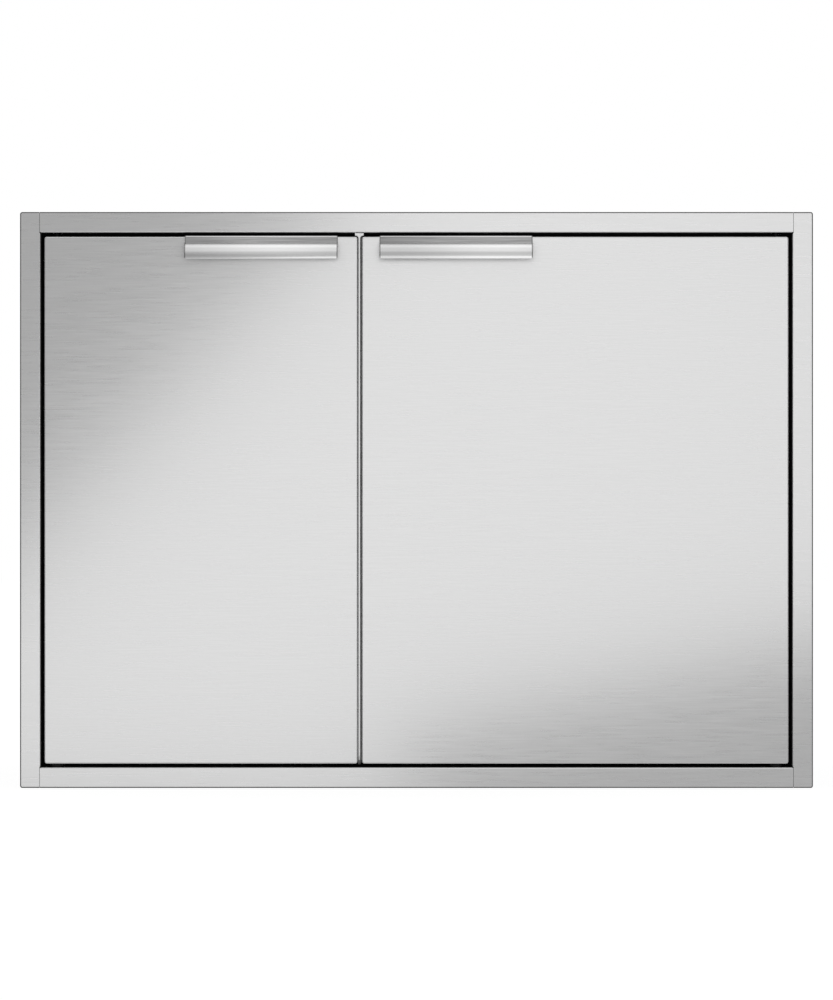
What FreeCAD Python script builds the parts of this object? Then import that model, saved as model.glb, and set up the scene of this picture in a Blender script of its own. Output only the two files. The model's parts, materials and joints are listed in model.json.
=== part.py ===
import FreeCAD, Part
import math
import os
import re

import Sketcher

# A built-in outdoor kitchen pantry in folded stainless sheet: a face frame, a sealed carcass with a
# centre mullion, and two inset doors of unequal width that turn on pivot pins at their outer edges.
# Frame of the model: X to the right, Y to the back, Z up, in millimetres. The origin is in the middle
# of the carcass floor's underside, which rests on the sill of the cut-out in the kitchen island.

# Driving dimensions, one spreadsheet cell each.
SIZES = {
    # face frame
    "overall_width": 762.0,
    "overall_height": 553.5,
    "overall_depth": 521.0,
    "face_width": 19.8,
    "flange_depth": 19.0,
    "rear_lip": 13.0,
    "frame_sheet": 1.2,
    "bend_radius": 1.25,
    "corner_radius": 2.2,
    "seam_gap": 0.4,
    "bracket_leg": 55.0,
    "bracket_thickness": 1.5,
    "bracket_margin": 1.0,
    # carcass
    "carcass_sheet": 1.0,
    "rear_flange": 15.0,
    "rivet_diameter": 4.0,
    "rivet_head": 8.0,
    "rivet_rise": 1.8,
    "rivet_margin": 70.0,
    "screw_hole": 5.0,
    "screw_hole_back": 34.0,
    "screw_hole_spread": 300.0,
    # centre post
    "nose_width": 2.4,
    "nose_shift": 0.46,
    "nose_round": 0.9,
    "nose_toe": 7.0,
    "nose_setback": 1.2,
    "head_width": 8.2,
    "head_depth": 8.0,
    "head_clearance": 0.8,
    "head_flare": 2.7,
    "nose_foot": 1.0,
    "divider_sheet": 1.2,
    "divider_flange": 14.0,
    # doors
    "reveal": 3.5,
    "top_reveal": 3.9,
    "door_gap": 4.0,
    "left_door_width": 301.2,
    "door_thickness": 18.0,
    "door_sheet": 1.2,
    "door_corner": 2.4,
    "liner_sheet": 0.8,
    "liner_recess": 3.0,
    "liner_margin": 46.0,
    "nest_gap": 0.15,
    # pivot hinges
    "pivot_inset": 12.0,
    "pivot_setback": 8.0,
    "pin_diameter": 6.0,
    "pin_head": 10.0,
    "pin_head_height": 2.5,
    "pin_engagement": 13.0,
    "pin_clearance": 0.05,
    "bush_wall": 1.5,
    "block_width": 22.0,
    "block_half_depth": 5.5,
    "block_height": 15.0,
    "plate_width": 30.0,
    "plate_half_depth": 5.6,
    "plate_thickness": 3.0,
    "washer_diameter": 13.0,
    "washer_play": 0.1,
    # seals
    "heel_clearance": 0.8,
    "web_thickness": 1.5,
    "fit_gap": 0.2,
    "seal_margin": 1.0,
    "seal_inset": 4.0,
    "seal_width": 8.0,
    "seal_clearance": 0.3,
    "seal_round": 3.2,
    "flange_lip": 2.0,
    # handles
    "handle_width": 146.8,
    "handle_height": 22.8,
    "handle_band": 6.8,
    "handle_lean": 3.4,
    "handle_reach": 19.6,
    "handle_sheet": 0.9,
    "handle_leg": 11.0,
    "handle_bend": 14.6,
    "handle_hem": 1.3,
    "handle_lip": 3.6,
    "handle_corner": 1.9,
    "left_handle_setback": 19.2,
    "right_handle_setback": 17.1,
    "handle_screw": 3.0,
    "handle_screw_head": 5.0,
    "handle_screw_length": 8.0,
    "handle_screw_margin": 20.0,
    # magnetic catches
    "catch_width": 46.0,
    "catch_height": 14.0,
    "catch_body": 17.0,
    "catch_ear": 11.0,
    "catch_ear_thickness": 2.0,
    "catch_setback": 62.0,
    "catch_drop": 1.0,
    "catch_gap": 0.4,
    "magnet_width": 34.0,
    "magnet_height": 8.0,
    "magnet_depth": 9.0,
    "catch_screw": 3.5,
    "catch_screw_head": 6.5,
    "catch_screw_spread": 28.0,
    "strike_thickness": 1.5,
    "strike_border": 2.0,
    # shelves
    "standard_width": 16.0,
    "standard_depth": 4.5,
    "standard_sheet": 1.0,
    "standard_end": 32.0,
    "standard_front": 70.0,
    "standard_back": 80.0,
    "slot_width": 8.0,
    "slot_first": 20.0,
    "clip_thickness": 2.5,
    "clip_reach": 13.0,
    "clip_play": 0.25,
    "clip_web": 12.0,
    "shelf_sheet": 1.2,
    "shelf_lip": 20.0,
    "shelf_gap": 1.0,
    "shelf_front": 42.0,
    "shelf_back": 24.0,
    "shelf_bend": 2.0,
}

# Repeated features, and how many slots up each shelf hangs.
SLOT_COUNT = 17
LEFT_SHELF_SLOT_COUNT = 8
RIGHT_SHELF_SLOT_COUNT = 7
FLANGE_RIVET_COUNT = 5
SIDE_RIVET_COUNT = 4
DIVIDER_RIVET_COUNT = 3

# Places and sizes worked out from the driving dimensions.
WORKED = {
    "front": "-overall_depth / 2",
    "island_face": "front + flange_depth",
    "back_face": "front + overall_depth",
    "opening_half": "overall_width / 2 - face_width",
    "opening_low": "frame_sheet",
    "opening_high": "opening_low + overall_height - 2 * face_width",
    "frame_low": "opening_low - face_width",
    "frame_high": "opening_high + face_width",
    "body_half": "opening_half + frame_sheet",
    "body_high": "opening_high + frame_sheet",
    "seam_half": "opening_half + bend_radius",
    # doors
    "door_low": "opening_low + reveal",
    "door_high": "opening_high - top_reveal",
    "door_back": "front + door_thickness",
    "left_door_outer": "-opening_half + reveal",
    "left_door_inner": "left_door_outer + left_door_width",
    "right_door_inner": "left_door_inner + door_gap",
    "right_door_outer": "opening_half - reveal",
    "mullion_x": "left_door_inner + door_gap / 2 - nose_shift",
    # pivots
    "pivot_y": "front + pivot_setback",
    "left_pivot": "left_door_outer + pivot_inset",
    "right_pivot": "right_door_outer - pivot_inset",
    "bush_bore": "pin_diameter / 2 + pin_clearance",
    "bush_outer": "bush_bore + bush_wall",
    "block_back": "pivot_y + block_half_depth",
    "heel": "sqrt(pivot_inset ^ 2 + (door_thickness - pivot_setback) ^ 2)",
    # the sealing face behind the doors, clear of the heel that swings past it
    "web_front": "pivot_y + heel + heel_clearance",
    "flange_front": "web_front + web_thickness",
    "flange_back": "flange_front + carcass_sheet",
    "left_seal_outer": "left_pivot + heel + seal_margin",
    "right_seal_outer": "right_pivot - heel - seal_margin",
    "left_seal_inner": "left_door_inner - seal_inset",
    "right_seal_inner": "right_door_inner + seal_inset",
    "seal_low": "door_low + seal_inset",
    "seal_high": "door_high - seal_inset",
    "seal_to_mouth": "seal_width + flange_lip",
    "left_mouth_outer": "left_seal_outer + seal_to_mouth",
    "left_mouth_inner": "left_seal_inner - seal_to_mouth",
    "right_mouth_outer": "right_seal_outer - seal_to_mouth",
    "right_mouth_inner": "right_seal_inner + seal_to_mouth",
    "mouth_low": "seal_low + seal_to_mouth",
    "mouth_high": "seal_high - seal_to_mouth",
    # inside walls
    "left_wall": "-body_half + carcass_sheet",
    "right_wall": "body_half - carcass_sheet",
    "divider_left": "mullion_x - divider_sheet / 2",
    "divider_right": "mullion_x + divider_sheet / 2",
    "panel_back": "back_face - carcass_sheet",
    "flange_rear": "panel_back - carcass_sheet",
    "rivet_hole": "rivet_diameter / 2 + pin_clearance",
    # handles
    "handle_top": "door_high + handle_sheet",
    "handle_low": "handle_top - handle_height",
    "handle_nose": "front - handle_reach",
    "handle_shelf": "handle_top - handle_band",
    # catches
    "strike_face": "door_back + strike_thickness",
    "catch_face": "strike_face + catch_gap",
    "catch_high": "mouth_high - catch_drop",
    "catch_low": "catch_high - catch_height",
    "catch_middle": "catch_high - catch_height / 2",
    "catch_ear_back": "flange_back + catch_ear_thickness",
    "left_catch": "left_door_inner - catch_setback",
    "right_catch": "right_door_inner + catch_setback",
    # shelves
    "standard_low": "carcass_sheet + standard_end",
    "standard_high": "body_high - carcass_sheet - standard_end",
    "slot_start": "standard_low + slot_first",
    "slot_pitch": f"(standard_high - slot_first - slot_start) / {SLOT_COUNT - 1}",
    "slot_height": "clip_thickness + 2 * clip_play",
    "front_standard": "flange_back + standard_front",
    "rear_standard": "panel_back - standard_back",
}

X_AXIS = FreeCAD.Vector(1, 0, 0)
Z_AXIS = FreeCAD.Vector(0, 0, 1)
TOUCH = 1e-5

doc = FreeCAD.newDocument("outdoor_pantry")
sheet = doc.addObject("Spreadsheet::Sheet", "Sizes")
for row, (alias, number) in enumerate(SIZES.items(), start=1):
    sheet.set(f"A{row}", alias)
    sheet.set(f"B{row}", str(number))
    sheet.setAlias(f"B{row}", alias)
doc.recompute()

pieces = []


def formula(text):
    """A spreadsheet formula: worked-out names are written out, and sizes get the sheet's name."""

    def swap(match):
        word = match.group(0)
        if word in WORKED:
            return f"({formula(WORKED[word])})"
        return f"Sizes.{word}" if word in SIZES else word

    return re.sub(r"[a-z][a-z0-9_]*", swap, str(text))


def bind(obj, **properties):
    """Ties an object's properties to formulas. A double underscore stands for a dot."""
    for name, text in properties.items():
        obj.setExpression(name.replace("__", "."), formula(text))
    return obj


def size(alias):
    return float(getattr(sheet, alias))


def keep(obj, label):
    """Names an object as a finished piece."""
    obj.Label = label
    pieces.append(obj)
    return obj


# Solids made of plates, rods and their sums


def plate(x, y, z):
    """A flat plate between two formulas along each axis."""
    box = doc.addObject("Part::Box", "plate")
    for side, start, (low, high) in zip(("Length", "Width", "Height"), "xyz", (x, y, z)):
        bind(box, **{side: f"({high}) - ({low})", f"Placement__Base__{start}": low})
    return box


def rod(axis, radius, length, x, y, z):
    """A round bar that starts at a point and runs along +X, +Y or +Z."""
    bar = doc.addObject("Part::Cylinder", "rod")
    aim(bar, axis)
    return bind(
        bar, Radius=radius, Height=length,
        Placement__Base__x=x, Placement__Base__y=y, Placement__Base__z=z,
    )


def taper(axis, start_radius, end_radius, length, x, y, z):
    """A cone frustum that starts at a point and runs along +X, +Y or +Z."""
    cone = doc.addObject("Part::Cone", "taper")
    aim(cone, axis)
    return bind(
        cone, Radius1=start_radius, Radius2=end_radius, Height=length,
        Placement__Base__x=x, Placement__Base__y=y, Placement__Base__z=z,
    )


def aim(obj, axis):
    direction = FreeCAD.Vector(*[float(letter == axis) for letter in "XYZ"])
    obj.Placement = FreeCAD.Placement(FreeCAD.Vector(), FreeCAD.Rotation(Z_AXIS, direction))


def join(shapes):
    """The sum of several solids. Solids that don't touch stay separate in it."""
    fused = doc.addObject("Part::MultiFuse", "joined")
    fused.Shapes = shapes
    fused.Refine = True
    return fused


def remove(base, tools):
    """A solid less some tools."""
    cut = doc.addObject("Part::Cut", "cut")
    cut.Base = base
    cut.Tool = tools[0] if len(tools) == 1 else join(tools)
    cut.Refine = True
    return cut


def group(shapes):
    together = doc.addObject("Part::Compound", "group")
    together.Links = shapes
    return together


def mirror(source, normal, **base):
    """The same solid seen in a mirror through the origin, or through a bound base point."""
    image = doc.addObject("Part::Mirroring", "mirrored")
    image.Source = source
    image.Normal = normal
    return bind(image, **base)


def spread(start, end, count):
    """Formulas for evenly spaced places from start to end."""
    return [f"{start} + ({end} - ({start})) * {i} / {count - 1}" for i in range(count)]


# Solids made from sketches


def new_body():
    return doc.addObject("PartDesign::Body", "body")


def new_sketch(body, role, offset="0"):
    """A sketch on one of the body's origin planes, moved along that plane's normal."""
    sketch = body.newObject("Sketcher::SketchObject", "sketch")
    plane = next(f for f in body.Origin.OriginFeatures if f.Role == role)
    sketch.AttachmentSupport = [(plane, "")]
    sketch.MapMode = "FlatFace"
    return bind(sketch, AttachmentOffset__Base__z=offset)


def outline(sketch, points):
    """A closed outline whose corners are pairs of formulas."""
    first, count = sketch.GeometryCount, len(points)
    ring = [FreeCAD.Vector(math.cos(a), math.sin(a), 0) for a in
            [2 * math.pi * i / count for i in range(count)]]
    for i in range(count):
        sketch.addGeometry(Part.LineSegment(ring[i], ring[(i + 1) % count]), False)
    for i in range(count):
        following = first + (i + 1) % count
        sketch.addConstraint(Sketcher.Constraint("Coincident", first + i, 2, following, 1))
    for i, corner in enumerate(points):
        for kind, text in zip(("DistanceX", "DistanceY"), corner):
            made = sketch.addConstraint(Sketcher.Constraint(kind, -1, 1, first + i, 1, 1.0))
            sketch.setExpression(f"Constraints[{made}]", formula(text))
    return sketch


def rectangle(sketch, x, y):
    (x0, x1), (y0, y1) = x, y
    return outline(sketch, [(x0, y0), (x1, y0), (x1, y1), (x0, y1)])


def inset(span, by):
    low, high = span
    return f"{low} + ({by})", f"{high} - ({by})"


def pad(body, sketch, length, backwards=False):
    feature = body.newObject("PartDesign::Pad", "pad")
    feature.Profile = sketch
    feature.Reversed = backwards
    return bind(feature, Length=length)


def pocket(body, sketch, length, backwards=False):
    feature = body.newObject("PartDesign::Pocket", "pocket")
    feature.Profile = sketch
    feature.Reversed = backwards
    return bind(feature, Length=length)


def near(a, b):
    return abs(a - b) < TOUCH


def soften(body, radius, chosen):
    """Rounds the edges of the body's solid that a test picks by their two end points and box."""
    doc.recompute()
    tip = body.Tip
    names = []
    for number, edge in enumerate(tip.Shape.Edges, start=1):
        if len(edge.Vertexes) == 2 and chosen(edge.BoundBox, tip.Shape.BoundBox):
            names.append(f"Edge{number}")
    feature = body.newObject("PartDesign::Fillet", "fillet")
    feature.Base = (tip, names)
    return bind(feature, Radius=radius)


def on(edge, axis, place):
    """True if an edge lies in the plane axis = place."""
    return near(getattr(edge, axis + "Min"), place) and near(getattr(edge, axis + "Max"), place)


# Face frame: folded channels with a rear lip, the stiles full height and the rails between them


def frame_stile():
    body = new_body()
    bind(body, Placement__Base__z="frame_low")
    edge, opening = "-overall_width / 2", "-opening_half"
    section = new_sketch(body, "XY_Plane")
    outline(section, [
        (edge, "front"),
        (opening, "front"),
        (opening, "flange_front"),
        (f"{opening} - frame_sheet", "flange_front"),
        (f"{opening} - frame_sheet", "front + frame_sheet"),
        (f"{edge} + frame_sheet", "front + frame_sheet"),
        (f"{edge} + frame_sheet", "island_face - frame_sheet"),
        (f"{edge} + rear_lip", "island_face - frame_sheet"),
        (f"{edge} + rear_lip", "island_face"),
        (edge, "island_face"),
    ])
    pad(body, section, "overall_height")
    ends = new_sketch(body, "XZ_Plane", "frame_sheet - front")
    for low, high in (("-frame_sheet", "face_width"),
                      ("overall_height - face_width", "overall_height + frame_sheet")):
        rectangle(ends, ("-seam_half", f"{opening} + frame_sheet"), (low, high))
    pocket(body, ends, "flange_front - front + 3 * frame_sheet")
    for low in ("0", "overall_height - frame_sheet"):
        cap = new_sketch(body, "XY_Plane", low)
        rectangle(cap, (edge, "-seam_half"), ("front", "island_face"))
        pad(body, cap, "frame_sheet")
    soften(body, "corner_radius", lambda e, b: on(e, "X", b.XMin) and
           (on(e, "Z", b.ZMin) or on(e, "Z", b.ZMax)))
    soften(body, "bend_radius", lambda e, b: on(e, "Y", b.YMin) and
           (on(e, "X", b.XMin) or on(e, "Z", b.ZMin) or on(e, "Z", b.ZMax) or on(e, "X", b.XMax)))
    return body


def frame_rail():
    body = new_body()
    half = "(seam_half - seam_gap)"
    bind(body, Placement__Base__x=f"-{half}")
    section = new_sketch(body, "YZ_Plane")
    outline(section, [
        ("front", "frame_low"),
        ("island_face", "frame_low"),
        ("island_face", "frame_low + rear_lip"),
        ("island_face - frame_sheet", "frame_low + rear_lip"),
        ("island_face - frame_sheet", "frame_low + frame_sheet"),
        ("front + frame_sheet", "frame_low + frame_sheet"),
        ("front + frame_sheet", "opening_low - frame_sheet"),
        ("flange_front", "opening_low - frame_sheet"),
        ("flange_front", "opening_low"),
        ("front", "opening_low"),
    ])
    pad(body, section, f"2 * {half}")
    soften(body, "bend_radius", lambda e, b: on(e, "Y", b.YMin) and
           (on(e, "Z", b.ZMin) or on(e, "Z", b.ZMax)))
    holes = [rod("Z", "pin_diameter / 2 + pin_clearance", "3 * frame_sheet", pivot, "pivot_y",
                 "opening_low - 2 * frame_sheet") for pivot in ("left_pivot", "right_pivot")]
    return remove(body, holes)


def corner_bracket():
    inner_x, inner_z = "-overall_width / 2 + frame_sheet", "frame_low + frame_sheet"
    depth = ("front + frame_sheet", "front + frame_sheet + bracket_thickness")
    width = "face_width - 2 * (frame_sheet + bracket_margin) - plate_thickness - pin_head_height"
    start_x, start_z = f"{inner_x} + bracket_margin", f"{inner_z} + bracket_margin"
    upright = plate((start_x, f"{start_x} + {width}"), depth, (start_z, f"{start_z} + bracket_leg"))
    foot = plate((start_x, f"{start_x} + bracket_leg"), depth, (start_z, f"{start_z} + {width}"))
    return join([upright, foot])


def build_frame():
    left = keep(frame_stile(), "frame_left_stile")
    keep(mirror(left, X_AXIS), "frame_right_stile")
    bottom = keep(frame_rail(), "frame_bottom_rail")
    keep(mirror(bottom, Z_AXIS, Base__z="body_high / 2"), "frame_top_rail")
    low_left = corner_bracket()
    low_right = mirror(low_left, X_AXIS)
    high = [mirror(low, Z_AXIS, Base__z="body_high / 2") for low in (low_left, low_right)]
    keep(group([low_left, low_right, *high]), "frame_corner_brackets")


# Carcass: folded sheets whose front edges make the sealing face, closed by a riveted back


def back_rivet_places():
    """(x, z) of the rivets in the back, by the sheet whose rear flange they hold."""
    half_flange = "rear_flange / 2"
    across = spread("-body_half + rivet_margin", "body_half - rivet_margin", FLANGE_RIVET_COUNT)
    up = spread("rivet_margin", "body_high - rivet_margin", SIDE_RIVET_COUNT)
    post = spread("rivet_margin", "body_high - rivet_margin", DIVIDER_RIVET_COUNT)
    return {
        "floor": [(x, half_flange) for x in across],
        "top": [(x, f"body_high - {half_flange}") for x in across],
        "left": [(f"-body_half + {half_flange}", z) for z in up],
        "right": [(f"body_half - {half_flange}", z) for z in up],
        "divider": [("divider_right + divider_flange / 2", z) for z in post],
    }


def rivet_holes(places):
    return [rod("Y", "rivet_hole", "4 * carcass_sheet", x, "back_face - 3 * carcass_sheet", z)
            for x, z in places]


def rivet(x, z):
    shank = rod("Y", "rivet_diameter / 2", "2 * carcass_sheet", x, "flange_rear", z)
    head = taper("Y", "rivet_head / 2", "rivet_head / 4", "rivet_rise", x, "back_face", z)
    return [shank, head]


def carcass_side(rivets):
    wall = plate(("-body_half", "left_wall"), ("flange_front", "panel_back"), ("0", "body_high"))
    front = plate(("-body_half", "left_mouth_outer"), ("flange_front", "flange_back"),
                  ("0", "body_high"))
    rear = plate(("-body_half", "-body_half + rear_flange"), ("flange_rear", "panel_back"),
                 ("0", "body_high"))
    spread_z = spread("body_high / 2 - screw_hole_spread / 2",
                      "body_high / 2 + screw_hole_spread / 2", 2)
    screws = [rod("X", "screw_hole / 2", "3 * carcass_sheet", "-body_half - carcass_sheet",
                  "flange_back + screw_hole_back", z) for z in spread_z]
    return remove(join([wall, front, rear]), screws + rivet_holes(rivets))


def carcass_floor(rivets):
    sheet_z = ("0", "carcass_sheet")
    flat = plate(("left_wall", "right_wall"), ("flange_back", "flange_rear"), sheet_z)
    front = plate(("left_mouth_outer", "right_mouth_outer"), ("flange_front", "flange_back"),
                  ("0", "mouth_low"))
    rear = plate(("-body_half + rear_flange", "body_half - rear_flange"),
                 ("flange_rear", "panel_back"), ("0", "rear_flange"))
    return remove(join([flat, front, rear]), rivet_holes(rivets))


def build_carcass(places):
    left = keep(carcass_side(places["left"]), "carcass_left_side")
    keep(mirror(left, X_AXIS), "carcass_right_side")
    floor = keep(carcass_floor(places["floor"]), "carcass_floor")
    keep(mirror(floor, Z_AXIS, Base__z="body_high / 2"), "carcass_top")
    everywhere = [place for some in places.values() for place in some]
    back = plate(("-body_half", "body_half"), ("panel_back", "back_face"), ("0", "body_high"))
    keep(remove(back, rivet_holes(everywhere)), "carcass_back")
    keep(join([part for place in everywhere for part in rivet(*place)]), "carcass_rivets")


# Centre post: a flat bar behind the doors with a thin nose that fills the gap between them


def build_centre(places):
    nose_y = "front + nose_setback"
    nose_x = ("mullion_x - nose_width / 2", "mullion_x + nose_width / 2")
    head_x = ("mullion_x - head_width / 2", "mullion_x + head_width / 2")
    under_head = "door_high + head_clearance"
    post = new_body()
    tee = new_sketch(post, "XZ_Plane", f"-({nose_y})")
    outline(tee, [
        (nose_x[0], "door_low + nose_foot"),
        (nose_x[1], "door_low + nose_foot"),
        (nose_x[1], under_head),
        (head_x[1], under_head),
        (head_x[1], "opening_high"),
        (head_x[0], "opening_high"),
        (head_x[0], under_head),
        (nose_x[0], under_head),
    ])
    pad(post, tee, "head_depth", backwards=True)
    head_drop = size("top_reveal") - size("head_clearance")
    side_step = (size("head_width") - size("nose_width")) / 2
    soften(post, "head_flare", lambda e, b: on(e, "Z", b.ZMax - head_drop) and
           (on(e, "X", b.XMin + side_step) or on(e, "X", b.XMax - side_step)))
    web = new_sketch(post, "XZ_Plane", f"-({nose_y})")
    rectangle(web, nose_x, ("door_low + nose_foot", "opening_high"))
    pad(post, web, f"flange_front - ({nose_y})", backwards=True)
    soften(post, "nose_toe", lambda e, b: on(e, "Y", b.YMin) and on(e, "Z", b.ZMin))
    soften(post, "nose_round", lambda e, b: on(e, "Y", b.YMin) and e.ZLength > size("door_thickness"))
    bar = new_sketch(post, "XZ_Plane", "-flange_front")
    rectangle(bar, ("left_mouth_inner", "right_mouth_inner"), ("mouth_low", "mouth_high"))
    pad(post, bar, "carcass_sheet", backwards=True)
    keep(post, "centre_mullion")

    low, high = "carcass_sheet", "body_high - carcass_sheet"
    run = ("flange_back", "flange_rear")
    turned = ("divider_left", "divider_right + divider_flange")
    web = plate(("divider_left", "divider_right"), run, (low, high))
    foot = plate(turned, run, (low, f"{low} + divider_sheet"))
    crown = plate(turned, run, (f"{high} - divider_sheet", high))
    tail = plate(turned, ("flange_rear", "panel_back"),
                 ("rear_flange", "body_high - rear_flange"))
    keep(remove(join([web, foot, crown, tail]), rivet_holes(places["divider"])), "centre_divider")


# Seals: a black rubber web on each sealing face, with a rounded bulb that the closed door meets


def build_seal(side, outer, inner, web_outer, web_inner):
    body = new_body()
    high = ("seal_low", "seal_high")
    across = (outer, inner)
    hole = (inset(across, "seal_width"), inset(high, "seal_width"))
    web = new_sketch(body, "XZ_Plane", "-flange_front")
    rectangle(web, (web_outer, web_inner), ("opening_low + fit_gap", "opening_high - fit_gap"))
    rectangle(web, *hole)
    pad(body, web, "web_thickness")
    bulb = new_sketch(body, "XZ_Plane", "-web_front")
    rectangle(bulb, across, high)
    rectangle(bulb, *hole)
    pad(body, bulb, "web_front - door_back - seal_clearance")
    soften(body, "seal_round", lambda e, b: on(e, "Y", b.YMin))
    keep(body, f"{side}_opening_seal")


# Doors: an outer pan with a liner pan nested in its back, on hinge blocks with plain bushes


def build_door(side, low_x, high_x, pivot):
    across, up = (low_x, high_x), ("door_low", "door_high")
    skin = new_body()
    blank = new_sketch(skin, "XZ_Plane", "-front")
    rectangle(blank, across, up)
    pad(skin, blank, "door_thickness", backwards=True)
    soften(skin, "door_corner", lambda e, b: e.YLength > TOUCH)
    soften(skin, "bend_radius", lambda e, b: on(e, "Y", b.YMin))
    hollow = new_sketch(skin, "XZ_Plane", "-(front + door_sheet)")
    rectangle(hollow, inset(across, "door_sheet"), inset(up, "door_sheet"))
    pocket(skin, hollow, "door_thickness")
    bush_hole = rod("Z", "bush_outer + nest_gap", "door_high - door_low + 2 * door_sheet",
                    pivot, "pivot_y", "door_low - door_sheet")
    keep(remove(skin, [bush_hole, *handle_screw_holes(side)]), f"{side}_door_skin")

    liner = new_body()
    edge = "door_sheet + nest_gap"
    cover = new_sketch(liner, "XZ_Plane", "-door_back")
    rectangle(cover, inset(across, edge), inset(up, edge))
    pad(liner, cover, "door_back - block_back - fit_gap")
    inside = new_sketch(liner, "XZ_Plane", "-(block_back - fit_gap)")
    rectangle(inside, inset(across, f"{edge} + liner_sheet"), inset(up, f"{edge} + liner_sheet"))
    pocket(liner, inside, "door_back - block_back + fit_gap - liner_sheet")
    swage = new_sketch(liner, "XZ_Plane", "-(door_back - liner_sheet)")
    rectangle(swage, inset(across, "liner_margin - liner_sheet"),
              inset(up, "liner_margin - liner_sheet"))
    pad(liner, swage, "liner_recess")
    recess = new_sketch(liner, "XZ_Plane", "-door_back")
    rectangle(recess, inset(across, "liner_margin"), inset(up, "liner_margin"))
    pocket(liner, recess, "liner_recess", backwards=True)
    keep(liner, f"{side}_door_liner")


def build_hinges(side, pivot):
    spot = (pivot, "pivot_y")
    round_hole = "pin_diameter / 2 + pin_clearance"
    inward = "+" if side == "left" else "-"
    block_x = ordered(inward, step_from(f"{side}_door_outer", inward, "door_sheet"),
                      step_from(pivot, inward, "block_width / 2"))

    def block(low, high):
        solid = plate(block_x, ("front + door_sheet", "block_back"), (low, high))
        return remove(solid, [rod("Z", "bush_outer", f"{high} - ({low})", *spot, low)])

    def bush(low, length):
        return remove(rod("Z", "bush_outer", length, *spot, low),
                      [rod("Z", "bush_bore", length, *spot, low)])

    inside_low, inside_high = "door_low + door_sheet", "door_high - door_sheet"
    keep(block(inside_low, f"{inside_low} + block_height"), f"{side}_lower_hinge_block")
    keep(block(f"{inside_high} - block_height", inside_high), f"{side}_upper_hinge_block")
    length = "door_sheet + block_height"
    keep(group([bush("door_low", length), bush(f"door_high - ({length})", length)]),
         f"{side}_hinge_bushes")

    plate_x = (f"{pivot} - plate_width / 2", f"{pivot} + plate_width / 2")
    plate_y = ("pivot_y - plate_half_depth", "pivot_y + plate_half_depth")
    sole = remove(plate(plate_x, plate_y, ("-plate_thickness", "0")),
                  [rod("Z", round_hole, "plate_thickness", *spot, "-plate_thickness")])
    keep(group([sole, mirror(sole, Z_AXIS, Base__z="body_high / 2")]), f"{side}_pivot_plates")

    head = rod("Z", "pin_head / 2", "pin_head_height", *spot, "-plate_thickness - pin_head_height")
    shank = rod("Z", "pin_diameter / 2", "plate_thickness + door_low + pin_engagement", *spot,
                "-plate_thickness")
    lower = keep(join([head, shank]), f"{side}_lower_hinge_pin")
    keep(mirror(lower, Z_AXIS, Base__z="body_high / 2"), f"{side}_upper_hinge_pin")

    washer = rod("Z", "washer_diameter / 2", "reveal - washer_play", *spot, "opening_low")
    keep(remove(washer, [rod("Z", round_hole, "reveal", *spot, "opening_low")]),
         f"{side}_thrust_washer")


# Handles: a strip hooked over the door's top edge, with a rounded lip to pull from below


def handle_span(side):
    """The x of a handle's two ends: it stands a setback away from the door's meeting edge."""
    if side == "left":
        end = "left_door_inner - left_handle_setback"
        return f"{end} - handle_width", end
    start = "right_door_inner + right_handle_setback"
    return start, f"{start} + handle_width"


def handle_screw_places(side):
    low, high = handle_span(side)
    places = spread(f"{low} + handle_screw_margin", f"{high} - handle_screw_margin", 2)
    return [(x, "front + handle_leg / 2") for x in places]


def handle_screw_holes(side):
    return [rod("Z", "handle_screw / 2 + pin_clearance", "4 * door_sheet", x, y,
                "door_high - 2 * door_sheet") for x, y in handle_screw_places(side)]


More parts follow.
